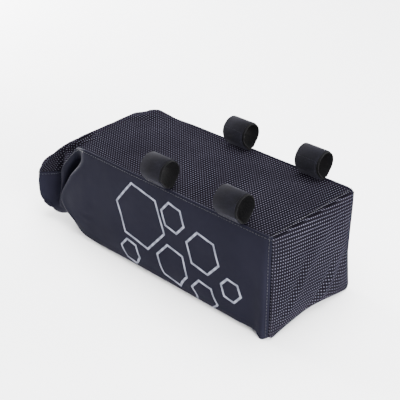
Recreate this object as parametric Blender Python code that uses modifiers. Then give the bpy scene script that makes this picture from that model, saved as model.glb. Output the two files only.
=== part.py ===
"""Aero bar bag: a soft bag that hangs by four strap loops under two handlebar extension tubes.

The bag is three sewn cloth panels round one hollow. A dotted top panel runs from the rear
edge over the folded nose. A plain belly panel is one U of cloth: left side, bottom and right
side, closed over the lower half of the nose. A dotted rear panel closes the back.
Four loops stand on the top panel, two on each side, in line with the tubes that they take.

Frame: metres, +Z up, the floor that the belly rests on is Z = 0, the bag runs along X with
its nose at -X and its rear panel at +X, and Y = 0 is its plane of symmetry.
"""

import math

import bpy
import bmesh
import numpy as np

MM = 0.001

# Driving dimensions of the bag
BODY_LENGTH = 228.0 * MM          # rear seam to where the front folds begin
NOSE_LENGTH = 121.0 * MM          # from there to the tip of the nose
REAR_BULGE = 7.0 * MM             # how far the rear panel swells past its seam
HALF_WIDTH = 66.0 * MM            # centre plane to the fullest part of a side
TOP_HEIGHT = 114.5 * MM           # floor to the upper face of the top panel
CORNER_RADIUS = 10.0 * MM         # roll of the cloth from the sides to the bottom
WALL = 1.5 * MM                   # cloth with its coating and lining
SEAM_GAP = 0.4 * MM               # clearance between two sewn edges
FRONT_SEAM_GAP = 1.0 * MM         # clearance at the front seam, where both panels bend in
SEAM_LIP = 1.2 * MM               # how far the belly's edge stands over the top panel
LEAST_MITRE = 0.8                 # least that the top panel draws back from a seam, in walls
MOST_MITRE = 2.6                  # and the most, in walls
MITRE_SLACK = 1.25                # how much further it draws back than a snug mitre

# Driving dimensions of the strap loops
TUBE_DIAMETER = 22.2 * MM
TUBE_SPACING = 120.3 * MM         # axis to axis, across the bag
TUBE_RISE = 18.0 * MM             # top panel to the tubes' axes
STRAP_WIDTH = 29.0 * MM           # along the tube
STRAP_THICKNESS = 1.7 * MM        # hook and pile tape, pressed together
STRAP_CLEARANCE = 0.3 * MM        # tape to the top of the tube
STRAP_SLACK = 0.5 * MM            # extra radius of the loop, below the tube's axis
STRAP_SEAT = 0.3 * MM             # tape to the cloth that it is sewn to
STRAP_FOOT = 7.0 * MM             # how far a loop's foot reaches in over the top panel
FRONT_STRAP = 144.5 * MM          # rear seam to the middle of the front loops
REAR_STRAP = 47.5 * MM            # rear seam to the middle of the rear loops

# Places that follow from the sizes: the box of the whole bag is centred on X = 0
REAR_SEAM = 0.5 * (BODY_LENGTH + NOSE_LENGTH - REAR_BULGE)
FOLD_START = REAR_SEAM - BODY_LENGTH

# How finely the cloth is divided
TOP_STEPS = (4, 4)                # crest to shoulder, shoulder to seam
SIDE_STEPS = (3, 3, 3, 3)         # seam to brow, brow to middle, middle to low, low to corner
CORNER_STEPS = 3
BOTTOM_STEPS = 4
FRONT_STEPS = 2                   # between the rows that close the nose
REAR_STEPS_ACROSS = 14
REAR_STEPS_DOWN = 10
STRAP_ARC_STEPS = 30

# Place of the shoulder line across the top, a share of HALF_WIDTH
SHOULDER = 0.76

# Heights of the three side lines, as shares of the way from the seam down to the corner
BROW, MIDDLE, LOW = 0.15, 0.45, 0.80

# Sections of the body, rear to front. x: share of BODY_LENGTH from the rear seam.
# seam, brow, middle, low, base: half widths, shares of HALF_WIDTH.
# top, floor, keel: heights, shares of TOP_HEIGHT; the keel is how far the middle of the
# bottom lifts. corner: share of CORNER_RADIUS. steps: pieces up to the next section.
BODY_COLUMNS = (
    "x", "seam", "brow", "middle", "low", "base", "top", "floor", "keel", "corner", "steps",
)
BODY_SECTIONS = (
    (0.000, 0.935, 0.940, 0.930, 0.930, 0.935, 0.995, 0.015, 0.045, 0.55, 2),
    (0.026, 0.955, 0.975, 0.985, 0.990, 1.000, 1.000, 0.000, 0.030, 0.25, 2),
    (0.075, 0.960, 0.980, 0.985, 0.965, 0.950, 1.000, 0.005, 0.010, 0.70, 2),
    (0.180, 0.962, 0.985, 0.998, 0.990, 0.975, 1.000, 0.000, 0.000, 1.00, 2),
    (0.400, 0.962, 0.990, 1.000, 1.000, 0.980, 0.998, 0.000, 0.000, 1.00, 2),
    (0.620, 0.962, 0.985, 0.992, 0.995, 0.980, 1.000, 0.000, 0.000, 1.00, 2),
    (0.820, 0.962, 0.985, 0.998, 1.000, 0.980, 0.998, 0.000, 0.000, 1.00, 2),
)

# The section whose seam the loops are sewn over
STRAP_SECTION = BODY_SECTIONS[3]

# Fold lines of the nose, rear to front, each from the crest of the top down to the bottom.
# Each point is (x, y, z): x a share of NOSE_LENGTH from the start of the folds, y a share of
# HALF_WIDTH, z a share of TOP_HEIGHT. corner: share of CORNER_RADIUS. far: how much further
# forward (share of NOSE_LENGTH) and up (share of TOP_HEIGHT) the far side's seam lies.
FOLD_COLUMNS = (
    "crest", "shoulder", "seam", "brow", "middle", "low", "base", "corner", "far", "steps",
)
FOLD_LINES = (
    ("last full section",
     (0.00, 0.00, 1.000), (0.00, 0.76, 1.000), (0.00, 0.962, 1.000),
     (0.00, 0.985), (0.06, 1.00), (0.16, 1.00), (0.205, 0.985, 0.000), 0.85, (0.00, 0.00), 2),
    ("belly lifts",
     (0.15, 0.00, 1.000), (0.13, 0.76, 1.000), (0.11, 0.965, 1.000),
     (0.13, 0.985), (0.27, 1.01), (0.42, 1.01), (0.345, 0.985, 0.010), 0.95, (0.04, 0.00), 2),
    ("behind the side ridge",
     (0.29, 0.00, 1.000), (0.24, 0.76, 1.000), (0.19, 0.972, 1.003),
     (0.21, 0.985), (0.40, 1.00), (0.575, 1.00), (0.45, 0.975, 0.085), 0.80, (0.11, 0.010), 2),
    ("side ridge",
     (0.38, 0.00, 1.000), (0.33, 0.76, 0.998), (0.26, 0.970, 1.000),
     (0.29, 0.97), (0.49, 0.985), (0.64, 0.98), (0.53, 0.950, 0.150), 0.60, (0.136, 0.018), 3),
    ("deep fold",
     (0.44, 0.00, 1.000), (0.40, 0.74, 0.990), (0.36, 0.915, 0.965),
     (0.415, 0.80), (0.555, 0.60), (0.66, 0.93), (0.555, 0.935, 0.157), 0.60, (0.12, 0.030), 3),
    ("lip, rear edge",
     (0.485, 0.00, 1.000), (0.475, 0.72, 0.982), (0.465, 0.885, 0.925),
     (0.505, 0.85), (0.62, 0.85), (0.67, 0.92), (0.58, 0.935, 0.155), 0.60, (0.08, 0.030), 2),
    ("lip, ridge",
     (0.53, 0.00, 0.993), (0.56, 0.72, 0.930), (0.61, 0.880, 0.750),
     (0.655, 0.885), (0.685, 0.875), (0.69, 0.92), (0.61, 0.935, 0.152), 0.60, (0.03, 0.100), 2),
    ("lip, front edge",
     (0.57, 0.00, 0.960), (0.61, 0.71, 0.893), (0.685, 0.840, 0.620),
     (0.71, 0.82), (0.72, 0.83), (0.705, 0.92), (0.63, 0.935, 0.149), 0.60, (0.00, 0.050), 2),
    ("front fold",
     (0.615, 0.00, 0.917), (0.665, 0.70, 0.830), (0.745, 0.730, 0.565),
     (0.76, 0.72), (0.755, 0.77), (0.73, 0.91), (0.66, 0.935, 0.144), 0.60, (0.00, 0.00), 2),
    ("behind the nose",
     (0.69, 0.00, 0.882), (0.725, 0.74, 0.814), (0.80, 0.815, 0.540),
     (0.81, 0.81), (0.81, 0.84), (0.785, 0.93), (0.72, 0.935, 0.133), 0.65, (0.00, 0.00), 2),
    ("nose side",
     (0.80, 0.00, 0.790), (0.825, 0.78, 0.735), (0.865, 0.905, 0.531),
     (0.87, 0.905), (0.88, 0.92), (0.865, 0.96), (0.80, 0.94, 0.125), 0.65, (0.00, 0.00), 2),
    ("nose corner",
     (0.90, 0.00, 0.686), (0.915, 0.84, 0.622), (0.930, 0.990, 0.525),
     (0.94, 1.00), (0.955, 1.00), (0.945, 0.98), (0.865, 0.94, 0.150), 0.70, (0.00, 0.00), 2),
)
# How much of the far side's shift each point down a fold line takes
FAR_SHARE = {"shoulder": 0.25, "seam": 1.0, "brow": 0.9, "middle": 0.5, "low": 0.15}

# The front of the nose, after its corner: each row shrinks the section before it
NOSE_FRONT = (
    # forward: share of NOSE_LENGTH, width: share of the corner's, pull: share of the way
    # from the section's own heights to the height of the front seam
    (0.985, 0.93, 0.16),
    (0.998, 0.84, 0.45),
)
FRONT_SEAM_X = 0.998              # share of NOSE_LENGTH
FRONT_SEAM_HALF = 0.76            # half length of the front seam, share of HALF_WIDTH
FRONT_SEAM_Z = 0.528              # height of the front seam, share of TOP_HEIGHT

# The rear panel swells by 1 - |place| ** REAR_SWELL_POWER across and up, and slack buckles
# slant over it: place of a buckle's middle across the panel and up it, from -1 to 1, its half
# width there, and its depth, a share of the swell
REAR_SWELL_POWER = 4
REAR_BUCKLE_SLANT = 0.6
REAR_BUCKLES = (
    # across, up, reach, depth
    (0.45, -0.35, 0.20, 0.11),
    (-0.05, -0.65, 0.22, -0.14),
    (0.80, -0.10, 0.18, -0.12),
)


def clear_scene():
    for item in list(bpy.data.objects):
        bpy.data.objects.remove(item, do_unlink=True)


def add_collection(name):
    group = bpy.data.collections.new(name)
    bpy.context.scene.collection.children.link(group)
    return group


def add_material(name, colour, roughness):
    material = bpy.data.materials.new(name)
    material.use_nodes = True
    shader = material.node_tree.nodes["Principled BSDF"]
    shader.inputs["Base Color"].default_value = (*colour, 1.0)
    shader.inputs["Roughness"].default_value = roughness
    shader.inputs["Metallic"].default_value = 0.0
    material.diffuse_color = (*colour, 1.0)
    return material


def through(points, steps):
    """A smooth curve through the points: steps[i] pieces between points i and i + 1."""
    points = [np.asarray(p, float) for p in points]
    first = 2.0 * points[0] - points[1]
    last = 2.0 * points[-1] - points[-2]
    padded = [first, *points, last]
    curve = [points[0]]
    for i, count in enumerate(steps):
        p0, p1, p2, p3 = padded[i:i + 4]
        knots = [0.0]
        for a, b in ((p0, p1), (p1, p2), (p2, p3)):
            knots.append(knots[-1] + max(float(np.linalg.norm(b - a)), 1e-6) ** 0.5)
        t0, t1, t2, t3 = knots
        for k in range(1, count + 1):
            t = t1 + (t2 - t1) * k / count
            a1 = p0 + (p1 - p0) * (t - t0) / (t1 - t0)
            a2 = p1 + (p2 - p1) * (t - t1) / (t2 - t1)
            a3 = p2 + (p3 - p2) * (t - t2) / (t3 - t2)
            b1 = a1 + (a2 - a1) * (t - t0) / (t2 - t0)
            b2 = a2 + (a3 - a2) * (t - t1) / (t3 - t1)
            curve.append(b1 + (b2 - b1) * (t - t1) / (t2 - t1))
    return curve


def body_line(row):
    """The control points of one body section, crest to bottom, on the near half (Y < 0)."""
    name = dict(zip(BODY_COLUMNS, row, strict=True))
    x = REAR_SEAM - name["x"] * BODY_LENGTH
    top = name["top"] * TOP_HEIGHT
    floor = name["floor"] * TOP_HEIGHT
    line = {
        "crest": (x, 0.0, top),
        "shoulder": (x, -SHOULDER * HALF_WIDTH, top),
        "seam": (x, -name["seam"] * HALF_WIDTH, top),
        "base": (x, -name["base"] * HALF_WIDTH, floor),
        "keel": name["keel"] * TOP_HEIGHT,
        "corner": name["corner"] * CORNER_RADIUS,
        "steps": name["steps"],
    }
    for key, share in (("brow", BROW), ("middle", MIDDLE), ("low", LOW)):
        line[key] = (x, -name[key] * HALF_WIDTH, top + share * (floor - top))
    return line


def fold_line(row, far=False):
    """The control points of one fold line of the nose, crest to bottom, on the near half."""
    name = dict(zip(FOLD_COLUMNS, row[1:], strict=True))

    def place(key, point):
        forward, rise = name["far"] if far else (0.0, 0.0)
        share = FAR_SHARE.get(key, 0.0)
        return (
            FOLD_START - (point[0] + share * forward) * NOSE_LENGTH,
            -point[1] * HALF_WIDTH,
            (point[2] + share * rise) * TOP_HEIGHT,
        )

    line = {key: place(key, name[key]) for key in ("crest", "shoulder", "seam", "base")}
    line["keel"] = 0.0
    line["corner"] = name["corner"] * CORNER_RADIUS
    line["steps"] = name["steps"]
    top = name["seam"][2]
    floor = name["base"][2]
    for key, share in (("brow", BROW), ("middle", MIDDLE), ("low", LOW)):
        line[key] = place(key, (*name[key], top + share * (floor - top)))
    return line


def top_half(line):
    return through([line["crest"], line["shoulder"], line["seam"]], TOP_STEPS)


def belly_half(line):
    """From the seam down the side, round the corner and in to the middle of the bottom."""
    base = np.array(line["base"])
    radius = line["corner"]
    side_end = base + (0.0, 0.0, radius)
    side = through([line["seam"], line["brow"], line["middle"], line["low"], side_end], SIDE_STEPS)
    centre = base + (0.0, radius, radius)
    bend = []
    for k in range(1, CORNER_STEPS + 1):
        turn = 0.5 * math.pi * k / CORNER_STEPS
        bend.append(centre + (0.0, -radius * math.cos(turn), -radius * math.sin(turn)))
    start = bend[-1]
    end = np.array((base[0], 0.0, base[2]))
    flat = []
    for k in range(1, BOTTOM_STEPS + 1):
        share = k / BOTTOM_STEPS
        lift = line["keel"] * math.sin(0.5 * math.pi * share)
        flat.append(start + (end - start) * share + (0.0, 0.0, lift))
    return side + bend + flat


def whole(half, far_half=None):
    """A near half, edge to middle, continued by the mirror image of the far one."""
    if far_half is None:
        far_half = half
    far = [point * (1.0, -1.0, 1.0) for point in reversed(far_half[:-1])]
    return half + far


def section_lines(far):
    return [body_line(row) for row in BODY_SECTIONS] + [fold_line(row, far) for row in FOLD_LINES]


def rows_along(sections, steps):
    """Sections joined into a grid by smooth curves along the bag, one for each point."""
    tracks = [through([section[k] for section in sections], steps) for k in range(len(sections[0]))]
    return [[track[j] for track in tracks] for j in range(len(tracks[0]))]


def nose_front_rows(section, seam_height):
    """The rows that close the nose: the section shrinks, then lies along the front seam."""
    level = FRONT_SEAM_Z * TOP_HEIGHT
    rows = []
    for forward, width, pull in NOSE_FRONT:
        rows.append([
            np.array((
                FOLD_START - forward * NOSE_LENGTH,
                point[1] * width,
                point[2] + (level - point[2]) * pull,
            ))
            for point in section
        ])
    half = FRONT_SEAM_HALF * HALF_WIDTH
    count = len(section) - 1
    last = []
    for k in range(count + 1):
        share = 2.0 * k / count - 1.0
        last.append(np.array((FOLD_START - FRONT_SEAM_X * NOSE_LENGTH, half * share, seam_height)))
    return rows + [last]


def unit(vector):
    return vector / max(float(np.linalg.norm(vector)), 1e-12)


def panel_grids():
    """The grids of the top and belly panels, rear to front, near edge to far edge."""
    lines = section_lines(far=False)
    far_lines = section_lines(far=True)
    tops = []
    bellies = []
    for line, far_line in zip(lines, far_lines):
        tops.append(whole(top_half(line)[::-1], top_half(far_line)[::-1]))
        bellies.append(whole(belly_half(line), belly_half(far_line)))
    steps = [line["steps"] for line in lines[:-1]]
    front_steps = [FRONT_STEPS] * (len(NOSE_FRONT) + 1)
    level = FRONT_SEAM_Z * TOP_HEIGHT
    top_sections = tops + nose_front_rows(tops[-1], level + 0.5 * FRONT_SEAM_GAP)
    belly_sections = bellies + nose_front_rows(bellies[-1], level - 0.5 * FRONT_SEAM_GAP)
    top_grid = rows_along(top_sections, steps + front_steps)
    belly_grid = rows_along(belly_sections, steps + front_steps)
    for row in belly_grid:
        for point in row:
            point[2] = max(point[2], 0.0)
    part_at_seam(top_grid, belly_grid, 0, 1)
    part_at_seam(top_grid, belly_grid, -1, -2)
    return top_grid, belly_grid


def square_to(vector, along):
    """The unit vector of the part of a vector that is square to a direction."""
    return unit(vector - along * float(vector @ along))


def part_at_seam(top_grid, belly_grid, edge, inner):
    """Parts two panels at their seam: a mitre keeps their thicknesses clear where it turns."""
    seams = [row[edge].copy() for row in top_grid]
    for i, (top_row, belly_row) in enumerate(zip(top_grid[:-1], belly_grid[:-1])):
        along = unit(seams[i + 1] - seams[max(i - 1, 0)])
        over = square_to(seams[i] - top_row[inner], along)
        down = square_to(belly_row[inner] - seams[i], along)
        cosine = float(over @ down)
        snug = math.sqrt((1.0 - cosine) / max(1.0 + cosine, 1e-6))
        mitre = min(max(snug * MITRE_SLACK, LEAST_MITRE), MOST_MITRE)
        top_row[edge] = seams[i] - over * (SEAM_GAP * math.hypot(1.0, mitre) + WALL * mitre)
        belly_row[edge] = seams[i] - down * SEAM_LIP * min(1.0 - cosine, 1.0)


def mesh_from_grid(name, grid, flip=False):
    """A quad mesh from a grid of points."""
    mesh = bpy.data.meshes.new(name)
    builder = bmesh.new()
    vertices = [[builder.verts.new(tuple(point)) for point in row] for row in grid]
    for j in range(len(grid) - 1):
        for k in range(len(grid[0]) - 1):
            corners = [vertices[j][k], vertices[j][k + 1], vertices[j + 1][k + 1], vertices[j + 1][k]]
            if flip:
                corners.reverse()
            builder.faces.new(corners)
    builder.to_mesh(mesh)
    builder.free()
    return mesh


def add_cloth(name, mesh, material, group):
    """An object whose mesh is the outer face of a cloth that is WALL thick."""
    item = bpy.data.objects.new(name, mesh)
    item.data.materials.append(material)
    item.data.shade_smooth()
    group.objects.link(item)
    solid = item.modifiers.new("cloth thickness", "SOLIDIFY")
    solid.thickness = WALL
    solid.offset = -1.0
    solid.use_quality_normals = True
    return item


def rear_outline():
    """The edge of the rear opening: its top, bottom and near edges in the plane of the seam."""
    line = body_line(BODY_SECTIONS[0])
    top = whole(top_half(line)[::-1])
    belly = belly_half(line)
    side_count = sum(SIDE_STEPS) + 1
    side = belly[:side_count + 1]
    bottom = whole(belly[side_count:])
    return top, side, bottom


def resample(points, count):
    """Points evenly spaced along a line of points."""
    points = np.array(points)
    runs = np.linalg.norm(np.diff(points, axis=0), axis=1)
    along = np.concatenate([[0.0], np.cumsum(runs)])
    wanted = np.linspace(0.0, along[-1], count + 1)
    return np.stack([np.interp(wanted, along, points[:, axis]) for axis in range(3)], axis=1)


def rear_grid():
    """A patch between the four edges of the rear opening, swollen towards +X."""
    top_edge, near_edge, bottom_edge = rear_outline()
    top = resample(top_edge, REAR_STEPS_ACROSS)
    bottom = resample(bottom_edge, REAR_STEPS_ACROSS)
    near = resample(near_edge, REAR_STEPS_DOWN)
    far = near * (1.0, -1.0, 1.0)
    edge_x = REAR_SEAM + SEAM_GAP + WALL
    grid = []
    for j in range(REAR_STEPS_DOWN + 1):
        v = j / REAR_STEPS_DOWN
        row = []
        for k in range(REAR_STEPS_ACROSS + 1):
            u = k / REAR_STEPS_ACROSS
            point = (1 - v) * top[k] + v * bottom[k] + (1 - u) * near[j] + u * far[j]
            point = point - (1 - u) * (1 - v) * top[0] - u * (1 - v) * top[-1]
            point = point - (1 - u) * v * bottom[0] - u * v * bottom[-1]
            across = 2 * u - 1
            up = 1 - 2 * v
            swell = (1 - across ** REAR_SWELL_POWER) * (1 - up ** REAR_SWELL_POWER)
            slack = 1.0
            for place, height, reach, depth in REAR_BUCKLES:
                slant = (across - place) - REAR_BUCKLE_SLANT * (up - height)
                slack += depth * math.exp(-(slant / reach) ** 2)
            point[0] = edge_x + (REAR_BULGE - SEAM_GAP - WALL) * swell * slack
            row.append(point)
        grid.append(row)
    return grid


def tangent_angle(point, radius, side):
    """Where a tape from the point meets the circle of the loop. side: +1 outer, -1 inner."""
    reach = math.hypot(*point)
    return math.atan2(point[1], point[0]) + side * math.acos(radius / reach)


def strap_outlines():
    """The outer and inner edges of a loop, seen along the tube, about the tube's axis.

    Points are (out, up): out is positive away from the bag's plane of symmetry. The foot lies
    on the top panel and runs out over the lip of the seam that it is sewn into.
    """
    drop = STRAP_SLACK
    inner = 0.5 * TUBE_DIAMETER + STRAP_CLEARANCE + STRAP_SLACK
    outer = inner + STRAP_THICKNESS
    edge = abs(body_line(STRAP_SECTION)["seam"][1]) - 0.5 * TUBE_SPACING
    cloth = -TUBE_RISE + STRAP_SEAT
    over_lip = cloth + SEAM_LIP
    beside_lip = edge - WALL - SEAM_GAP - STRAP_SEAT
    foot = [
        (edge - STRAP_FOOT, cloth),
        (beside_lip, cloth),
        (beside_lip, over_lip),
        (edge + STRAP_THICKNESS, over_lip),
    ]
    hollow_foot = [
        (edge - STRAP_FOOT + STRAP_THICKNESS, cloth + STRAP_THICKNESS),
        (beside_lip - STRAP_THICKNESS, cloth + STRAP_THICKNESS),
        (beside_lip, over_lip + STRAP_THICKNESS),
        (edge, over_lip + STRAP_THICKNESS),
    ]
    first = (foot[-1][0], foot[-1][1] + drop)
    last = (foot[0][0], foot[0][1] + drop)
    start = tangent_angle(first, outer, 1)
    end = tangent_angle(last, outer, -1) + 2.0 * math.pi
    turns = [start + (end - start) * k / STRAP_ARC_STEPS for k in range(STRAP_ARC_STEPS + 1)]
    outside = [(outer * math.cos(t), outer * math.sin(t) - drop) for t in turns] + foot
    inside = [(inner * math.cos(t), inner * math.sin(t) - drop) for t in turns] + hollow_foot
    return outside, inside


def add_strap(name, side, middle, material, group):
    """One loop: a band of tape round its tube, sewn over the seam. side: -1 left, +1 right."""
    curve = bpy.data.curves.new(name, "CURVE")
    curve.dimensions = "2D"
    curve.fill_mode = "BOTH"
    curve.extrude = 0.5 * STRAP_WIDTH
    for outline in strap_outlines():
        spline = curve.splines.new("POLY")
        spline.points.add(len(outline) - 1)
        for point, (out, up) in zip(spline.points, outline):
            point.co = (side * out, up, 0.0, 1.0)
        spline.use_cyclic_u = True
    strap = bpy.data.objects.new(name, curve)
    strap.data.materials.append(material)
    strap.rotation_euler = (0.5 * math.pi, 0.0, 0.5 * math.pi)
    strap.location = (REAR_SEAM - middle, 0.5 * TUBE_SPACING * side, TOP_HEIGHT + TUBE_RISE)
    group.objects.link(strap)
    return strap


def build():
    clear_scene()
    group = add_collection("aero_bar_bag")
    dotted = add_material("dotted_cloth", (0.020, 0.020, 0.027), 0.6)
    plain = add_material("coated_cloth", (0.012, 0.012, 0.018), 0.45)
    tape = add_material("loop_tape", (0.030, 0.034, 0.048), 0.95)
    top_grid, belly_grid = panel_grids()
    add_cloth("top_panel", mesh_from_grid("top_panel", top_grid), dotted, group)
    add_cloth("belly_panel", mesh_from_grid("belly_panel", belly_grid, flip=True), plain, group)
    add_cloth("rear_panel", mesh_from_grid("rear_panel", rear_grid(), flip=True), dotted, group)
    for side, side_name in ((-1, "left"), (1, "right")):
        for middle, place in ((FRONT_STRAP, "front"), (REAR_STRAP, "rear")):
            add_strap(f"strap_{side_name}_{place}", side, middle, tape, group)


build()
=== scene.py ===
# %% [markdown]
# # A soft bag for handlebar extensions
# The real object is a light cloth bag that hangs by tape loops under a pair of handlebar
# extension tubes. Three sewn panels make it: a dotted top panel that also folds down over the
# nose, a plain coated panel that is both sides and the bottom in one U, and a dotted rear panel.
# The construction model already holds every panel and loop at its real size. This script keeps
# that frame and makes the surfaces that the eye sees: cloth with folds and slack, woven dots,
# a coated face with a transfer print, pile tape and rows of stitches.

import math

import bmesh
import bpy
import numpy as np
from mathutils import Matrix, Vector, noise


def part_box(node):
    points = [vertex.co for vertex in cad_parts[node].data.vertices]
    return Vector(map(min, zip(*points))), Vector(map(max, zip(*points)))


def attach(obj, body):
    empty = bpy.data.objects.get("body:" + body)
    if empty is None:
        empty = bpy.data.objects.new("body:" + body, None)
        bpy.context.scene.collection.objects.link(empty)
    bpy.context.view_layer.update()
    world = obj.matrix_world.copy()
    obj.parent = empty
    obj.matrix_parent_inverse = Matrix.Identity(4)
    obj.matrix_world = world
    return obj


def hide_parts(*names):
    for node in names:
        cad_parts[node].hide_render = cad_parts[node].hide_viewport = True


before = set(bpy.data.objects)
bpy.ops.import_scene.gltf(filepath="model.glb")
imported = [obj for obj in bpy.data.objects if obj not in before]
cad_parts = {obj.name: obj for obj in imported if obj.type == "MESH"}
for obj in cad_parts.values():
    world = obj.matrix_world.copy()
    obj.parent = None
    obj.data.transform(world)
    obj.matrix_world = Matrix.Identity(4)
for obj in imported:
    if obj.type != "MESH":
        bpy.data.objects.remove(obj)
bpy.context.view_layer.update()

# %% [markdown]
# ## Camera, floor and light
# A learner could guess the camera by eye, but a bag is easier to judge from the exact place that
# a product photograph is taken from: about a metre away, in front and to the left of the rear
# panel, looking down by some thirty degrees. A long lens keeps the bag's edges nearly parallel.

# %% Camera
CAMERA_PLACE = Vector((0.5776, -0.5810, 0.5248))
CAMERA_BACK = Vector((0.60114, -0.62991, 0.49178))
FOCAL_SHARE = 870.0 / 400.0
SENSOR_MM = 36.0

camera = bpy.data.objects.new("camera", bpy.data.cameras.new("camera"))
camera.data.sensor_width = SENSOR_MM
camera.data.lens = FOCAL_SHARE * SENSOR_MM
camera.data.clip_start = 0.05
camera.location = CAMERA_PLACE
camera.rotation_euler = CAMERA_BACK.to_track_quat("Z", "Y").to_euler()
bpy.context.scene.collection.objects.link(camera)
bpy.context.scene.camera = camera
print("lens:", round(camera.data.lens, 1), "mm")

# %% [markdown]
# Each colour is picked as a screen colour and turned to linear light by one function, because
# the renderer counts in linear light. Each node is added by one other function, which takes the
# node's settings and what goes into its sockets.


# %% Colour and node helpers
def linear(hex_colour):
    """A screen colour such as #336699 as a linear RGBA value."""
    shares = [int(hex_colour[i:i + 2], 16) / 255.0 for i in (1, 3, 5)]
    return (*[s / 12.92 if s <= 0.04045 else ((s + 0.055) / 1.055) ** 2.4 for s in shares], 1.0)


def add_node(tree, kind, sockets=None, **settings):
    """Adds a node. sockets: name or number of an input, and a value or another node's output."""
    node = tree.nodes.new(kind)
    for name, value in settings.items():
        setattr(node, name, value)
    for name, value in (sockets or {}).items():
        if isinstance(value, bpy.types.NodeSocket):
            tree.links.new(value, node.inputs[name])
        else:
            node.inputs[name].default_value = value
    return node


def new_material(name):
    """A material with an empty tree, and the shader that its nodes feed."""
    material = bpy.data.materials.new(name)
    material.use_nodes = True
    shader = material.node_tree.nodes["Principled BSDF"]
    return material, material.node_tree, shader


# %% [markdown]
# The floor is a plain pale sheet, and five panels give soft light: a wide one over the bag, a low
# one at each end for the nose and the rear panel, and two behind that draw the far edge. A low
# panel makes smooth dark cloth glare when it is seen edge-on, so the dotted cloth has no gloss.

# %% Floor and lights
FLOOR_HALF = 6.0
WORLD_STRENGTH = 0.3
# name: place, watts, width, height; every panel of light looks at the middle of the bag
LIGHTS = {
    "top panel of light": ((0.1, 0.1, 1.6), 98.0, 1.6, 1.2),
    "left panel of light": ((-1.7, 0.0, 0.4), 150.0, 1.0, 0.6),
    "right panel of light": ((1.7, -0.4, 0.4), 170.0, 1.0, 0.6),
    "rear panel of light": ((1.4, 1.2, 0.35), 40.0, 1.0, 0.6),
    "back panel of light": ((-0.9, 1.3, 0.8), 34.0, 1.4, 0.8),
}

floor_material, _, floor_shader = new_material("pale studio floor")
floor_shader.inputs["Base Color"].default_value = linear("#fafafb")
floor_shader.inputs["Roughness"].default_value = 0.9
floor_mesh = bpy.data.meshes.new("floor")
floor_mesh.from_pydata(
    [(x * FLOOR_HALF, y * FLOOR_HALF, 0.0) for x, y in ((-1, -1), (1, -1), (1, 1), (-1, 1))],
    [],
    [(0, 1, 2, 3)],
)
floor_mesh.materials.append(floor_material)
floor = bpy.data.objects.new("floor", floor_mesh)
bpy.context.scene.collection.objects.link(floor)

world = bpy.data.worlds.new("soft white room")
world.use_nodes = True
world.node_tree.nodes["Background"].inputs["Color"].default_value = linear("#f4f5f8")
world.node_tree.nodes["Background"].inputs["Strength"].default_value = WORLD_STRENGTH
bpy.context.scene.world = world

for name, (place, watts, width, height) in LIGHTS.items():
    lamp = bpy.data.lights.new(name, "AREA")
    lamp.shape = "RECTANGLE"
    lamp.energy = watts
    lamp.size = width
    lamp.size_y = height
    holder = bpy.data.objects.new(name, lamp)
    holder.location = place
    holder.rotation_euler = (Vector(place) - Vector((0.0, 0.0, 0.06))).to_track_quat("Z", "Y").to_euler()
    bpy.context.scene.collection.objects.link(holder)
print("lights:", len(LIGHTS))

# %% [markdown]
# ## The form of the bag
# A box bag like this is best made as a maker would cut it: a few cross sections along the body,
# and then the lines along which the nose is folded. Each section is a row of named points, from
# the crest of the top down the side to the bottom. A smooth curve through each row, and a second
# one along the bag through the rows, gives a fine net that follows the listed points.
# All lengths are shares of a few real sizes, so the bag can be made longer or taller.

# %% Driving sizes, in metres
MM = 0.001
BODY_LENGTH = 228.0 * MM
NOSE_LENGTH = 121.0 * MM
HALF_WIDTH = 66.0 * MM
TOP_HEIGHT = 114.5 * MM
CORNER_RADIUS = 10.0 * MM
REAR_BULGE = 7.0 * MM
WALL = 1.5 * MM
SEAM_GAP = 0.2 * MM
REAR_SEAM = float(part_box("top_panel")[1][0])
FOLD_START = REAR_SEAM - BODY_LENGTH
print("rear seam at", round(REAR_SEAM / MM, 2), "mm, folds start at", round(FOLD_START / MM, 2), "mm")

# %% Sections of the body
# x: share of BODY_LENGTH forward of the rear seam. seam to base: half widths, shares of
# HALF_WIDTH. top, floor, keel: heights, shares of TOP_HEIGHT; the keel is how far the middle of
# the bottom lifts. corner: share of CORNER_RADIUS. steps: pieces up to the next section.
SHOULDER = 0.76
BROW, MIDDLE, LOW = 0.15, 0.45, 0.80
BODY_COLUMNS = (
    "x", "seam", "brow", "middle", "low", "base", "top", "floor", "keel", "corner", "steps",
)
BODY_SECTIONS = (
    (0.000, 0.935, 0.940, 0.930, 0.930, 0.935, 0.995, 0.015, 0.045, 0.55, 2),
    (0.026, 0.955, 0.975, 0.985, 0.990, 1.000, 1.000, 0.000, 0.030, 0.25, 2),
    (0.075, 0.960, 0.980, 0.985, 0.965, 0.950, 1.000, 0.005, 0.010, 0.70, 2),
    (0.180, 0.962, 0.985, 0.998, 0.990, 0.975, 1.000, 0.000, 0.000, 1.00, 2),
    (0.400, 0.962, 0.990, 1.000, 1.000, 0.980, 0.998, 0.000, 0.000, 1.00, 2),
    (0.620, 0.962, 0.985, 0.992, 0.995, 0.980, 1.000, 0.000, 0.000, 1.00, 2),
    (0.820, 0.962, 0.985, 0.998, 1.000, 0.980, 0.998, 0.000, 0.000, 1.00, 2),
)

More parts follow.
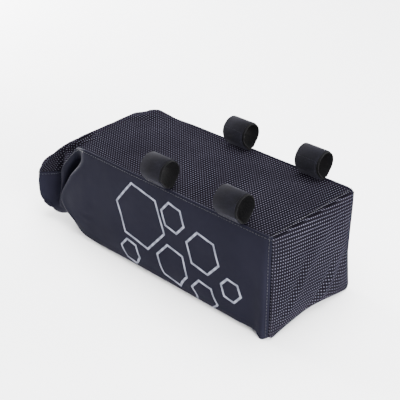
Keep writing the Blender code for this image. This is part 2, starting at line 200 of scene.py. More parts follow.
# %% Fold lines of the nose
# Each point is (x, y, z) in shares of NOSE_LENGTH, HALF_WIDTH and TOP_HEIGHT. far: how much
# further forward and up the seam of the right side lies, where the cloth bunches more.
FOLD_COLUMNS = (
    "crest", "shoulder", "seam", "brow", "middle", "low", "base", "corner", "far", "steps",
)
FOLD_LINES = (
    ("last full section",
     (0.00, 0.00, 1.000), (0.00, 0.76, 1.000), (0.00, 0.962, 1.000),
     (0.00, 0.985), (0.06, 1.00), (0.16, 1.00), (0.205, 0.985, 0.000), 0.85, (0.00, 0.00), 2),
    ("belly lifts",
     (0.15, 0.00, 1.000), (0.13, 0.76, 1.000), (0.11, 0.965, 1.000),
     (0.13, 0.985), (0.27, 1.01), (0.42, 1.01), (0.345, 0.985, 0.010), 0.95, (0.04, 0.00), 2),
    ("behind the side ridge",
     (0.29, 0.00, 1.000), (0.24, 0.76, 1.000), (0.19, 0.972, 1.003),
     (0.21, 0.985), (0.40, 1.00), (0.575, 1.00), (0.45, 0.975, 0.085), 0.80, (0.11, 0.010), 2),
    ("side ridge",
     (0.38, 0.00, 1.000), (0.33, 0.76, 0.998), (0.26, 0.970, 1.000),
     (0.29, 0.97), (0.49, 0.985), (0.64, 0.98), (0.53, 0.950, 0.150), 0.60, (0.136, 0.018), 3),
    ("deep fold",
     (0.44, 0.00, 1.000), (0.40, 0.74, 0.990), (0.36, 0.915, 0.965),
     (0.415, 0.80), (0.555, 0.60), (0.66, 0.93), (0.555, 0.935, 0.157), 0.60, (0.12, 0.030), 3),
    ("lip, rear edge",
     (0.485, 0.00, 1.000), (0.475, 0.72, 0.975), (0.450, 0.885, 0.900),
     (0.505, 0.85), (0.62, 0.85), (0.67, 0.92), (0.58, 0.935, 0.155), 0.60, (0.08, 0.030), 2),
    ("lip, ridge",
     (0.53, 0.00, 0.993), (0.56, 0.72, 0.930), (0.595, 0.880, 0.727),
     (0.655, 0.885), (0.685, 0.875), (0.69, 0.92), (0.61, 0.935, 0.152), 0.60, (0.03, 0.100), 2),
    ("lip, front edge",
     (0.57, 0.00, 0.960), (0.61, 0.71, 0.893), (0.685, 0.840, 0.620),
     (0.71, 0.82), (0.72, 0.83), (0.705, 0.92), (0.63, 0.935, 0.149), 0.60, (0.00, 0.050), 2),
    ("front fold",
     (0.615, 0.00, 0.917), (0.665, 0.70, 0.830), (0.745, 0.730, 0.565),
     (0.76, 0.72), (0.755, 0.77), (0.73, 0.91), (0.66, 0.935, 0.132), 0.60, (0.00, 0.00), 2),
    ("behind the nose",
     (0.69, 0.00, 0.882), (0.725, 0.74, 0.814), (0.80, 0.815, 0.540),
     (0.81, 0.81), (0.81, 0.84), (0.785, 0.93), (0.72, 0.935, 0.105), 0.65, (0.00, 0.00), 2),
    ("nose side",
     (0.80, 0.00, 0.790), (0.825, 0.78, 0.735), (0.865, 0.905, 0.531),
     (0.87, 0.905), (0.88, 0.92), (0.865, 0.96), (0.80, 0.94, 0.095), 0.65, (0.00, 0.00), 2),
    ("nose corner",
     (0.90, 0.00, 0.686), (0.915, 0.84, 0.622), (0.930, 0.990, 0.525),
     (0.94, 1.00), (0.955, 1.00), (0.945, 0.98), (0.865, 0.94, 0.140), 0.70, (0.00, 0.00), 2),
)
FAR_SHARE = {"shoulder": 0.25, "seam": 1.0, "brow": 0.9, "middle": 0.5, "low": 0.15}

# How the nose closes: forward and width as shares, and how far each row is pulled to the seam
NOSE_FRONT = ((0.985, 0.93, 0.16), (0.998, 0.84, 0.45))
FRONT_SEAM_HALF = 0.76
FRONT_SEAM_Z = 0.528
print("sections:", len(BODY_SECTIONS), "fold lines:", len(FOLD_LINES))

# %% [markdown]
# The curve is a Catmull-Rom spline with its knots spaced by the square root of the distance.
# That kind stays close to its points and never loops back, even where two fold lines run close
# together. It works on one row of points or on a whole stack of rows at once.


# %% Smooth curves and half sections
FINE_ALONG = 5                    # finer than the construction model, along the bag
TOP_STEPS = (22, 28)
SIDE_STEPS = (14, 16, 14, 10)
CORNER_STEPS = 10
BOTTOM_STEPS = 12


def through(points, steps):
    """A smooth curve through the points: steps[i] pieces between points i and i + 1."""
    points = np.asarray(points, float)
    first = 2.0 * points[0] - points[1]
    last = 2.0 * points[-1] - points[-2]
    padded = [first, *points, last]
    curve = [points[0]]
    for i, count in enumerate(steps):
        p0, p1, p2, p3 = padded[i:i + 4]
        knots = [0.0]
        for a, b in ((p0, p1), (p1, p2), (p2, p3)):
            span = np.linalg.norm(b - a, axis=-1, keepdims=True)
            knots.append(knots[-1] + np.sqrt(np.maximum(span, 1e-6)))
        t0, t1, t2, t3 = knots
        for k in range(1, count + 1):
            t = t1 + (t2 - t1) * k / count
            a1 = p0 + (p1 - p0) * (t - t0) / (t1 - t0)
            a2 = p1 + (p2 - p1) * (t - t1) / (t2 - t1)
            a3 = p2 + (p3 - p2) * (t - t2) / (t3 - t2)
            b1 = a1 + (a2 - a1) * (t - t0) / (t2 - t0)
            b2 = a2 + (a3 - a2) * (t - t1) / (t3 - t1)
            curve.append(b1 + (b2 - b1) * (t - t1) / (t2 - t1))
    return np.array(curve)


def body_line(row):
    """Named control points of one body section on the left half, crest to bottom."""
    name = dict(zip(BODY_COLUMNS, row, strict=True))
    x = REAR_SEAM - name["x"] * BODY_LENGTH
    top = name["top"] * TOP_HEIGHT
    floor_z = name["floor"] * TOP_HEIGHT
    line = {
        "crest": (x, 0.0, top),
        "shoulder": (x, -SHOULDER * HALF_WIDTH, top),
        "seam": (x, -name["seam"] * HALF_WIDTH, top),
        "base": (x, -name["base"] * HALF_WIDTH, floor_z),
        "keel": name["keel"] * TOP_HEIGHT,
        "corner": name["corner"] * CORNER_RADIUS,
        "steps": name["steps"],
    }
    for key, share in (("brow", BROW), ("middle", MIDDLE), ("low", LOW)):
        line[key] = (x, -name[key] * HALF_WIDTH, top + share * (floor_z - top))
    return line


def fold_line(row, far):
    """Named control points of one fold line of the nose on the left half."""
    name = dict(zip(FOLD_COLUMNS, row[1:], strict=True))

    def place(key, point):
        forward, rise = name["far"] if far else (0.0, 0.0)
        share = FAR_SHARE.get(key, 0.0)
        return (
            FOLD_START - (point[0] + share * forward) * NOSE_LENGTH,
            -point[1] * HALF_WIDTH,
            (point[2] + share * rise) * TOP_HEIGHT,
        )

    line = {key: place(key, name[key]) for key in ("crest", "shoulder", "seam", "base")}
    line["keel"] = 0.0
    line["corner"] = name["corner"] * CORNER_RADIUS
    line["steps"] = name["steps"]
    top = name["seam"][2]
    floor_z = name["base"][2]
    for key, share in (("brow", BROW), ("middle", MIDDLE), ("low", LOW)):
        line[key] = place(key, (*name[key], top + share * (floor_z - top)))
    return line


def top_half(line):
    """Crest to seam."""
    return through([line["crest"], line["shoulder"], line["seam"]], TOP_STEPS)


def belly_half(line):
    """Seam, side, corner and bottom, to the middle of the bottom."""
    base = np.array(line["base"])
    radius = line["corner"]
    side_end = base + (0.0, 0.0, radius)
    side = through([line["seam"], line["brow"], line["middle"], line["low"], side_end], SIDE_STEPS)
    turn = 0.5 * math.pi * np.arange(1, CORNER_STEPS + 1)[:, None] / CORNER_STEPS
    centre = base + (0.0, radius, radius)
    bend = centre + np.hstack([0.0 * turn, -radius * np.cos(turn), -radius * np.sin(turn)])
    share = np.arange(1, BOTTOM_STEPS + 1)[:, None] / BOTTOM_STEPS
    middle = np.array((base[0], 0.0, base[2]))
    flat = bend[-1] + (middle - bend[-1]) * share
    flat[:, 2] += line["keel"] * np.sin(0.5 * math.pi * share[:, 0])
    return np.vstack([side, bend, flat])


def whole(left, right):
    """A left half, edge to middle, continued by the mirror image of the right one."""
    return np.vstack([left, right[-2::-1] * (1.0, -1.0, 1.0)])


# %% [markdown]
# The last rows close the nose: the section shrinks and then lies along the front seam. Where
# the two panels meet, each is drawn back a little, as a mitre, so that their thicknesses don't
# run into each other; the coated panel stands a little proud, as a turned seam does.


# %% Nets of the top and the belly
SEAM_LIP = 1.2 * MM
LEAST_MITRE, MOST_MITRE = 0.3, 2.6
DRAWN_BAND = 14.0 * MM            # width of top cloth that shares in the drawing back
LIP_BAND = 4.0 * MM
LIP_FADES = (-75.0 * MM, -45.0 * MM)   # on the right the top cloth rolls over the bunched edge


def nose_front_rows(section, seam_z):
    """The rows that close the nose."""
    level = FRONT_SEAM_Z * TOP_HEIGHT
    rows = []
    for forward, width, pull in NOSE_FRONT:
        row = section.copy()
        row[:, 0] = FOLD_START - forward * NOSE_LENGTH
        row[:, 1] *= width
        row[:, 2] += (level - row[:, 2]) * pull
        rows.append(row)
    across = np.linspace(-1.0, 1.0, len(section)) * FRONT_SEAM_HALF * HALF_WIDTH
    last_x = np.full(len(section), FOLD_START - NOSE_FRONT[-1][0] * NOSE_LENGTH)
    rows.append(np.stack([last_x, across, np.full(len(section), seam_z)], axis=1))
    return rows


def unit(vectors):
    """Vectors of length one."""
    return vectors / np.maximum(np.linalg.norm(vectors, axis=-1, keepdims=True), 1e-12)


def run_length(net, axis):
    """Length along the cloth from the first row (axis 0) or column (axis 1), at each point."""
    pieces = np.linalg.norm(np.diff(net, axis=axis), axis=-1)
    start = np.zeros_like(np.take(pieces, [0], axis=axis))
    return np.concatenate([start, np.cumsum(pieces, axis=axis)], axis=axis)


def square_to(vectors, along):
    """Unit vectors of the parts that are square to the directions."""
    return unit(vectors - along * np.sum(vectors * along, axis=-1, keepdims=True))


def part_at_seam(top, belly, proud):
    """Draws both nets back from their first column, which is the seam they share."""
    seam = top[:, 0].copy()
    along = unit(np.gradient(seam, axis=0))
    over = square_to(seam - top[:, 4], along)
    down = square_to(belly[:, 2] - seam, along)
    cosine = np.sum(over * down, axis=-1, keepdims=True)
    mitre = np.sqrt((1.0 - cosine) / np.maximum(1.0 + cosine, 1e-6))
    mitre = np.clip(mitre, LEAST_MITRE, MOST_MITRE)
    inset = SEAM_GAP * np.hypot(1.0, mitre) + WALL * mitre
    fade = np.clip(1.0 - run_length(top, 1) / DRAWN_BAND, 0.0, 1.0)[..., None] ** 1.5
    top -= over[:, None] * inset[:, None] * fade
    lift = SEAM_LIP * np.clip(1.0 - cosine, 0.0, 1.0) * proud[:, None]
    fade = np.clip(1.0 - run_length(belly, 1) / LIP_BAND, 0.0, 1.0)[..., None]
    belly -= down[:, None] * lift[:, None] * fade


def panel_nets():
    """The nets of the top and belly panels: rows rear to front, columns left to right."""
    left = [body_line(row) for row in BODY_SECTIONS] + [fold_line(r, False) for r in FOLD_LINES]
    right = [body_line(row) for row in BODY_SECTIONS] + [fold_line(r, True) for r in FOLD_LINES]
    tops = [whole(top_half(a)[::-1], top_half(b)[::-1]) for a, b in zip(left, right)]
    bellies = [whole(belly_half(a), belly_half(b)) for a, b in zip(left, right)]
    steps = [line["steps"] for line in left[:-1]] + [2] * (len(NOSE_FRONT) + 1)
    steps = [count * FINE_ALONG for count in steps]
    level = FRONT_SEAM_Z * TOP_HEIGHT
    top = through(tops + nose_front_rows(tops[-1], level + SEAM_GAP), steps)
    belly = through(bellies + nose_front_rows(bellies[-1], level - SEAM_GAP), steps)
    belly[..., 2] = np.maximum(belly[..., 2], 0.0)
    start, full = LIP_FADES
    rolled = np.clip((belly[:-1, -1, 0] - start) / (full - start), 0.0, 1.0)
    part_at_seam(top[:-1], belly[:-1], np.ones(len(belly) - 1))
    part_at_seam(top[:-1, ::-1], belly[:-1, ::-1], rolled)
    return top, belly


top_net, belly_net = panel_nets()
print("top net:", top_net.shape, "belly net:", belly_net.shape)

# %% [markdown]
# Before the folds get their small slack, each point of a net is given its place on the flat
# cloth: how far along and how far across the cloth it lies, in metres. The woven dots and the
# print read that map, so they follow the cloth through every fold, as they do on a real bag.


# %% Map of the flat cloth
def cloth_map(net):
    """Place of each point on the flat cloth: along from the rear edge, across from the middle."""
    along = run_length(net, 0)
    across = run_length(net, 1)
    across -= across[:, [net.shape[1] // 2]]
    return np.stack([along, across], axis=-1)


top_map = cloth_map(top_net)
belly_map = cloth_map(belly_net)
print("top cloth:", np.round(top_map.max((0, 1)) - top_map.min((0, 1)), 3), "m")
print("belly cloth:", np.round(belly_map.max((0, 1)) - belly_map.min((0, 1)), 3), "m")


# %% [markdown]
# Folds on the real bag come from how it is packed. Each larger one is a line on the flat cloth
# along which the points move out or in, which keeps it where it was seen. A cloth simulation is
# the usual way; none was tried here. Small seeded swells stand for the slack in between.

# %% Creases and slack
# Each crease: height in mm, half width in mm, and its line on the flat cloth as (along, across)
# in mm. Minus across is the left side. A crease starts and ends softly.
TOP_CREASES = (
    (1.6, 2.2, ((274, -24), (276, -42), (276, -52), (281, -60), (300, -67), (316, -75))),
    (-5.0, 5.0, ((286, -22), (288, -40), (288, -50), (294, -57), (306, -62))),
    (1.2, 2.5, ((300, -46), (306, -54), (316, -62))),
    (3.0, 17.0, ((268, 34), (296, 64))),
)
BELLY_CREASES = (
    (0.8, 1.6, ((306, -94), (289, -88), (278, -79))),
    (-0.8, 2.0, ((271, -98), (262, -97), (250, -101))),
    (0.5, 2.0, ((268, -94), (259, -92), (249, -96))),
    (1.2, 14.0, ((250, -88), (200, -86), (120, -88), (60, -86))),
)
SLACK_DEPTH = 0.5 * MM
SLACK_SIZE = 38.0 * MM
SEWN_BAND = 4.0 * MM


def outward(net, sign):
    """Unit normals of a net, turned out by sign."""
    return sign * unit(np.cross(np.gradient(net, axis=0), np.gradient(net, axis=1)))


def crease_height(flat, height, half_width, line):
    """Height that one crease gives each point of the flat cloth."""
    line = np.array(line, float) * MM
    starts, ends = line[:-1], line[1:]
    lengths = np.linalg.norm(ends - starts, axis=1)
    before = np.concatenate([[0.0], np.cumsum(lengths)[:-1]])
    best = np.full(flat.shape[:2], np.inf)
    place = np.zeros(flat.shape[:2])
    for start, end, length, run in zip(starts, ends, lengths, before):
        share = np.clip(((flat - start) @ (end - start)) / length ** 2, 0.0, 1.0)
        away = np.linalg.norm(flat - start - share[..., None] * (end - start), axis=-1)
        closer = away < best
        best = np.where(closer, away, best)
        place = np.where(closer, (run + share * length) / lengths.sum(), place)
    ends_fade = np.clip(4.0 * np.minimum(place, 1.0 - place) + 0.1, 0.0, 1.0)
    return height * MM * ends_fade * np.exp(-(best / (half_width * MM)) ** 2)


def slack(net, seed):
    """Soft random swells of loose cloth, from -1 to 1, the same on each run."""
    places = net.reshape(-1, 3) / SLACK_SIZE
    values = [noise.fractal(Vector(p) + Vector((seed, 0, 0)), 0.9, 2.2, 3) for p in places]
    return np.array(values).reshape(net.shape[:2])


def sewn_edge(net):
    """0 at the sewn edges of a net, 1 from a seam allowance inwards."""
    ways = (run_length(net, 0), run_length(net[::-1], 0)[::-1],
            run_length(net, 1), run_length(net[:, ::-1], 1)[:, ::-1])
    return np.clip(np.minimum.reduce(ways) / SEWN_BAND, 0.0, 1.0)


def loosen(net, flat, sign, creases, seed):
    """Moves the points of a net out and in by its creases and its slack."""
    height = slack(net, seed) * SLACK_DEPTH
    for crease in creases:
        height += crease_height(flat, *crease)
    height *= sewn_edge(net) * np.clip(net[..., 2] / (8.0 * MM), 0.0, 1.0)
    net += outward(net, sign) * height[..., None]
    net[..., 2] = np.maximum(net[..., 2], 0.0)


loosen(top_net, top_map, -1.0, TOP_CREASES, 3.7)
loosen(belly_net, belly_map, 1.0, BELLY_CREASES, 11.3)
print("creases:", len(TOP_CREASES) + len(BELLY_CREASES))

# %% [markdown]
# ## The rear panel
# A flat piece of dotted cloth closes the back. It is a patch between its four edges that swells
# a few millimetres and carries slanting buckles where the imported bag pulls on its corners.

# %% Net of the rear panel
REAR_COLUMNS, REAR_ROWS = 96, 72
REAR_SWELL_POWER = 4
REAR_BUCKLE_SLANT = 0.6
# Buckles: across, up, reach and depth, as shares of the panel
REAR_BUCKLES = (
    (0.45, -0.35, 0.20, 0.11),
    (-0.05, -0.65, 0.22, -0.14),
    (0.80, -0.10, 0.18, -0.12),
)


def resample(points, count):
    """Points evenly spaced along a line of points."""
    along = run_length(points, 0)
    wanted = np.linspace(0.0, along[-1], count + 1)
    return np.stack([np.interp(wanted, along, points[:, axis]) for axis in range(3)], axis=1)


def rear_net():
    """A patch between the edges of the rear opening, swollen towards +X."""
    line = body_line(BODY_SECTIONS[0])
    belly = belly_half(line)
    side_end = sum(SIDE_STEPS) + CORNER_STEPS // 3
    top_edge = resample(whole(top_half(line)[::-1], top_half(line)[::-1]), REAR_COLUMNS)
    bottom = resample(whole(belly[side_end:], belly[side_end:]), REAR_COLUMNS)
    near = resample(belly[:side_end + 1], REAR_ROWS)
    far = near * (1.0, -1.0, 1.0)
    u = np.linspace(0.0, 1.0, REAR_COLUMNS + 1)[None, :, None]
    v = np.linspace(0.0, 1.0, REAR_ROWS + 1)[:, None, None]
    net = (1 - v) * top_edge[None] + v * bottom[None] + (1 - u) * near[:, None] + u * far[:, None]
    net = net - (1 - v) * ((1 - u) * top_edge[0] + u * top_edge[-1])
    net = net - v * ((1 - u) * bottom[0] + u * bottom[-1])
    across = 2.0 * u[..., 0] - 1.0
    up = 1.0 - 2.0 * v[..., 0]
    swell = (1 - across ** REAR_SWELL_POWER) * (1 - up ** REAR_SWELL_POWER)
    buckled = np.ones_like(swell)
    for place, height, reach, depth in REAR_BUCKLES:
        slant = (across - place) - REAR_BUCKLE_SLANT * (up - height)
        buckled += depth * np.exp(-(slant / reach) ** 2)
    edge_x = REAR_SEAM + SEAM_GAP + WALL
    net[..., 0] = edge_x + (REAR_BULGE - SEAM_GAP - WALL) * swell * buckled
    return net


rear = rear_net()
rear_down = run_length(rear, 0)
rear_over = run_length(rear, 1)
rear_map = np.stack([-rear_down, rear_over - 0.5 * rear_over[:, -1:]], axis=-1)
print("rear panel cut:", np.round(rear_map.max((0, 1)) - rear_map.min((0, 1)), 3), "m")

# %% [markdown]
# Two slanting bands near the lower right are seen on the real panel. The other creases here are
# made up in the same spirit, because the rest of the panel is hidden.

# %% Creases of the rear panel
# Creases from the lower corners: height, half width, line as (minus down, across), in mm
REAR_CREASES = (
    (1.6, 4.0, ((-112, -10), (-97, 4), (-76, 20), (-50, 36))),
    (-1.4, 4.5, ((-112, 8), (-93, 18), (-72, 33))),
    (2.4, 6.0, ((-112, 20), (-95, 33), (-74, 48), (-60, 56))),
    (1.2, 5.0, ((-104, -58), (-84, -42), (-58, -26), (-30, -14))),
    (-1.0, 6.0, ((-96, -44), (-70, -24), (-40, -8))),
    (1.0, 7.0, ((-8, 50), (-24, 30), (-48, 6), (-70, -12))),
)
loosen(rear, rear_map, -1.0, REAR_CREASES, 5.1)

# The lower right corner is pushed back by what the bag holds, in both panels that meet there
CORNER_PUSH = 4.5 * MM


def push_corner(net):
    """Moves the points round the lower right rear corner towards +X."""
    back = np.clip((net[..., 0] - REAR_SEAM) / (30.0 * MM) + 1.0, 0.0, 1.0)
    right = np.clip((net[..., 1] + 10.0 * MM) / (60.0 * MM), 0.0, 1.0)
    low = np.clip(1.0 - net[..., 2] / (45.0 * MM), 0.0, 1.0)
    net[..., 0] += CORNER_PUSH * back * right ** 2 * (3.0 - 2.0 * right) * low


push_corner(rear)
push_corner(belly_net)
print("rear net:", rear.shape, "reach:", round(rear[..., 0].max() / MM, 1), "mm")

# %% [markdown]
# ## Cloth finishes
# Two cloths make the bag. The top and rear are a dobby weave: a near-black nylon ground with
# small light floats in straight rows, about three millimetres apart, which catch the light one
# by one. The sides are the same yarn with a smooth coating: satin and blue-black. The yarn itself
# is too fine to draw; faint broad ribs only keep the face from looking like plastic. A very
# little sheen stands for fuzz. It changes the look hardly at all, so the colours do the work.

# %% Dotted dobby cloth
DOT_ROW = (3.5 * MM, 0.05 * MM)
DOT_COLUMN = (-0.42 * MM, 3.0 * MM)
DOT_WIDTH = 1.05 * MM
DOT_EDGE = 0.35 * MM
RIB_SPACING = 8.0 * MM            # broad soft ribs, far coarser than the yarn, which isn't drawn
DIAGONAL_WAVE = 0.4443            # metres between slanting bands of a wave texture at scale 1
STRAIGHT_WAVE = 0.3142            # and between straight ones


def dotted_cloth():
    """Near-black dobby nylon: the eye sees rows of small light floats on a dull ground."""
    material, tree, shader = new_material("dobby nylon with woven dots")
    place = add_node(tree, "ShaderNodeUVMap", uv_map="flat cloth").outputs["UV"]
    size = DOT_ROW[0] * DOT_COLUMN[1] - DOT_ROW[1] * DOT_COLUMN[0]
    turns = ((DOT_COLUMN[1] / size, -DOT_COLUMN[0] / size), (-DOT_ROW[1] / size, DOT_ROW[0] / size))
    cells = []
    for turn in turns:
        cell = add_node(tree, "ShaderNodeVectorMath", {0: place, 1: (*turn, 0.0)}, operation="DOT_PRODUCT")
        part = add_node(tree, "ShaderNodeMath", {0: cell.outputs["Value"]}, operation="FRACT")
        cells.append(add_node(tree, "ShaderNodeMath", {0: part.outputs[0], 1: 0.5}, operation="SUBTRACT"))
    dx = add_node(tree, "ShaderNodeMath", {0: cells[0].outputs[0], 1: DOT_ROW[0]}, operation="MULTIPLY")
    dy = add_node(tree, "ShaderNodeMath", {0: cells[1].outputs[0], 1: DOT_COLUMN[1]}, operation="MULTIPLY")
    offset = add_node(tree, "ShaderNodeCombineXYZ", {0: dx.outputs[0], 1: dy.outputs[0]})
    reach = add_node(tree, "ShaderNodeVectorMath", {0: offset.outputs[0]}, operation="LENGTH")
    dot = add_node(tree, "ShaderNodeMapRange", {
        "Value": reach.outputs["Value"],
        "From Min": 0.5 * DOT_WIDTH + 0.5 * DOT_EDGE,
        "From Max": 0.5 * DOT_WIDTH - 0.5 * DOT_EDGE,
    }, interpolation_type="SMOOTHSTEP").outputs["Result"]
    patches = add_node(tree, "ShaderNodeTexNoise", {"Vector": place, "Scale": 22.0, "Detail": 3.0})
    bright = add_node(tree, "ShaderNodeMapRange", {
        "Value": patches.outputs["Fac"], "From Min": 0.3, "From Max": 0.7, "To Min": 0.55, "To Max": 1.0,
    }).outputs["Result"]
    fac = add_node(tree, "ShaderNodeMath", {0: dot, 1: bright}, operation="MULTIPLY").outputs[0]
    colour = add_node(tree, "ShaderNodeMix", {
        "Factor": fac, 6: linear("#0a090d"), 7: linear("#53515d"),
    }, data_type="RGBA").outputs[2]
    weave = add_node(tree, "ShaderNodeTexWave", {
        "Vector": place, "Scale": DIAGONAL_WAVE / RIB_SPACING, "Distortion": 0.4, "Detail": 1.0,
    }, wave_type="BANDS", bands_direction="DIAGONAL").outputs["Fac"]
    height = add_node(tree, "ShaderNodeMath", {0: weave, 1: 0.3, 2: dot}, operation="MULTIPLY_ADD")
    bump = add_node(tree, "ShaderNodeBump", {
        "Height": height.outputs[0], "Strength": 0.35, "Distance": 0.15 * MM,
    })
    tree.links.new(colour, shader.inputs["Base Color"])
    tree.links.new(bump.outputs["Normal"], shader.inputs["Normal"])
    shader.inputs["Roughness"].default_value = 0.62
    # Yarn has no smooth face: at a level of 0.02 the top turns pale when it is seen edge-on
    shader.inputs["Specular IOR Level"].default_value = 0.0
    shader.inputs["Sheen Weight"].default_value = 0.012
    shader.inputs["Sheen Roughness"].default_value = 0.4
    shader.inputs["Sheen Tint"].default_value = linear("#a8a4cc")
    return material


# %% [markdown]
# ### The print
# A large line print in light grey runs over each side and under the bottom edge. Here it is a
# cluster of hexagon outlines. It could be cut as thin strips and laid on the cloth, but a
# print has no thickness, so the material draws it: each hexagon is the distance to its outline
# on the flat map, and the nearest outline decides where the ink is.

# %% Coated cloth with its line print
INK_WIDTH = 2.3 * MM
PRINT_BANDS = 9.77 * MM            # spacing of the light and dark bands in the ink
PRINT_TURN = math.radians(11.0)
# Hexagons of the print: along from the rear seam, up the cloth from the middle of the bottom,
# and half the width across flats, in millimetres
HEXAGONS = (
    (172.0, 130.0, 31.0),
    (188.0, 82.0, 12.0),
    (125.0, 92.0, 19.0),
    (124.0, 147.0, 14.0),
    (83.0, 124.0, 19.0),
    (82.0, 76.0, 14.0),
    (46.0, 98.0, 11.0),
)


def ink_mask(tree, place):
    """1 where the nearest hexagon outline is less than half an ink width away."""
    parts = add_node(tree, "ShaderNodeSeparateXYZ", {0: place})
    up = add_node(tree, "ShaderNodeMath", {0: parts.outputs["Y"]}, operation="ABSOLUTE")
    side = add_node(tree, "ShaderNodeCombineXYZ", {0: parts.outputs["X"], 1: up.outputs[0]}).outputs[0]
    nearest = None
    for along, height, half in HEXAGONS:
        local = add_node(tree, "ShaderNodeMapping", {
            "Vector": side,
            "Location": (along * MM, height * MM, 0.0),
            "Rotation": (0.0, 0.0, PRINT_TURN),
        }, vector_type="TEXTURE")
        folded = add_node(tree, "ShaderNodeVectorMath", {0: local.outputs[0]}, operation="ABSOLUTE")
        folded = folded.outputs[0]
        slant = add_node(tree, "ShaderNodeVectorMath", {
            0: folded, 1: (math.cos(math.pi / 6.0), 0.5, 0.0),
        }, operation="DOT_PRODUCT").outputs["Value"]
        level = add_node(tree, "ShaderNodeVectorMath", {
            0: folded, 1: (0.0, 1.0, 0.0),
        }, operation="DOT_PRODUCT")
        outer = add_node(tree, "ShaderNodeMath", {0: slant, 1: level.outputs["Value"]}, operation="MAXIMUM")
        past = add_node(tree, "ShaderNodeMath", {0: outer.outputs[0], 1: half * MM}, operation="SUBTRACT")
        away = add_node(tree, "ShaderNodeMath", {0: past.outputs[0]}, operation="ABSOLUTE").outputs[0]
        if nearest is None:
            nearest = away
        else:
            closer = add_node(tree, "ShaderNodeMath", {0: nearest, 1: away}, operation="MINIMUM")
            nearest = closer.outputs[0]
    ink = add_node(tree, "ShaderNodeMath", {0: nearest, 1: 0.5 * INK_WIDTH}, operation="LESS_THAN")
    return ink.outputs[0]


def coated_cloth():
    """Coated nylon: a satin blue-black face with faint broad ribs, and matt light-grey ink."""
    material, tree, shader = new_material("coated nylon with line print")
    place = add_node(tree, "ShaderNodeUVMap", uv_map="flat cloth").outputs["UV"]
    ink = ink_mask(tree, place)
    patches = add_node(tree, "ShaderNodeTexNoise", {"Vector": place, "Scale": 14.0, "Detail": 4.0})
    ground = add_node(tree, "ShaderNodeMix", {
        "Factor": patches.outputs["Fac"], 6: linear("#0f0f15"), 7: linear("#15151d"),
    }, data_type="RGBA").outputs[2]
    twill = add_node(tree, "ShaderNodeTexWave", {
        "Vector": place, "Scale": DIAGONAL_WAVE / PRINT_BANDS, "Distortion": 0.3,
    }, wave_type="BANDS", bands_direction="DIAGONAL").outputs["Fac"]
    ink_colour = add_node(tree, "ShaderNodeMix", {
        "Factor": twill, 6: linear("#5c5e68"), 7: linear("#777985"),
    }, data_type="RGBA").outputs[2]
    colour = add_node(tree, "ShaderNodeMix", {"Factor": ink, 6: ground, 7: ink_colour}, data_type="RGBA")
    weave = add_node(tree, "ShaderNodeTexWave", {
        "Vector": place, "Scale": DIAGONAL_WAVE / RIB_SPACING, "Distortion": 0.6, "Detail": 2.0,
    }, wave_type="BANDS", bands_direction="DIAGONAL").outputs["Fac"]
    bump = add_node(tree, "ShaderNodeBump", {"Height": weave, "Strength": 0.12, "Distance": 0.1 * MM})
    tree.links.new(colour.outputs[2], shader.inputs["Base Color"])
    tree.links.new(bump.outputs["Normal"], shader.inputs["Normal"])
    shader.inputs["Roughness"].default_value = 0.5
    shader.inputs["Specular IOR Level"].default_value = 0.012
    shader.inputs["Specular Tint"].default_value = linear("#b9b4ff")
    shader.inputs["Sheen Weight"].default_value = 0.006
    shader.inputs["Sheen Roughness"].default_value = 0.4
    shader.inputs["Sheen Tint"].default_value = linear("#8c84e0")
    return material


DOTTED = dotted_cloth()
COATED = coated_cloth()
print("cloth finishes:", DOTTED.name, "and", COATED.name)


# %% [markdown]
# Each net becomes a mesh with its flat map, and gets the cloth's thickness on its inner side, so
# the outer face stays where the net was drawn.


def cloth_piece(name, net, flat, flip, material, node):
    """A panel: a net of quads with its flat map, thickened inwards."""
    rows, columns = net.shape[:2]
    index = np.arange(rows * columns).reshape(rows, columns)
    faces = np.stack([index[:-1, :-1], index[:-1, 1:], index[1:, 1:], index[1:, :-1]], axis=-1).reshape(-1, 4)
    if flip:
        faces = faces[:, ::-1]
    mesh = bpy.data.meshes.new(name)
    mesh.from_pydata(net.reshape(-1, 3).tolist(), [], faces.tolist())
    layer = mesh.uv_layers.new(name="flat cloth")
    corners = np.zeros(len(mesh.loops), dtype=np.int32)
    mesh.loops.foreach_get("vertex_index", corners)
    layer.data.foreach_set("uv", flat.reshape(-1, 2)[corners].astype(np.float32).ravel())
    mesh.materials.append(material)
    mesh.shade_smooth()
    piece = bpy.data.objects.new(name, mesh)
    bpy.context.scene.collection.objects.link(piece)
    wall = piece.modifiers.new("cloth thickness", "SOLIDIFY")
    wall.thickness = WALL
    wall.offset = -1.0
    wall.use_quality_normals = True
    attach(piece, "root")
    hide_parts(node)
    return piece


cloth_piece("top_cloth", top_net, top_map, False, DOTTED, "top_panel")
cloth_piece("belly_cloth", belly_net, belly_map, True, COATED, "belly_panel")
cloth_piece("rear_cloth", rear, rear_map, True, DOTTED, "rear_panel")

# %% [markdown]
# ## The tape loops
# Each loop is one length of pile tape that goes round the tube and closes on itself. It is sewn
# over the side seam. Seen along the tube it is a ring with a short foot that lies on the top
# panel. The outer face is a soft grey-blue pile, and the inner face and the cut edges are black.

# %% Sizes of a loop
TUBE_DIAMETER = 22.2 * MM
TUBE_SPACING = 120.3 * MM
TUBE_RISE = 18.0 * MM
STRAP_WIDTH = 29.0 * MM
STRAP_THICKNESS = 1.7 * MM
STRAP_CLEARANCE = 0.3 * MM
STRAP_SLACK = 0.5 * MM
STRAP_SEAT = 0.3 * MM
STRAP_FOOT = 7.0 * MM
STRAP_EDGE = 0.35 * MM
LOOPS = {
    "left_front_loop": (-1, "strap_left_front"),
    "left_rear_loop": (-1, "strap_left_rear"),
    "right_front_loop": (1, "strap_right_front"),
    "right_rear_loop": (1, "strap_right_rear"),
}
ARC_STEPS = 72


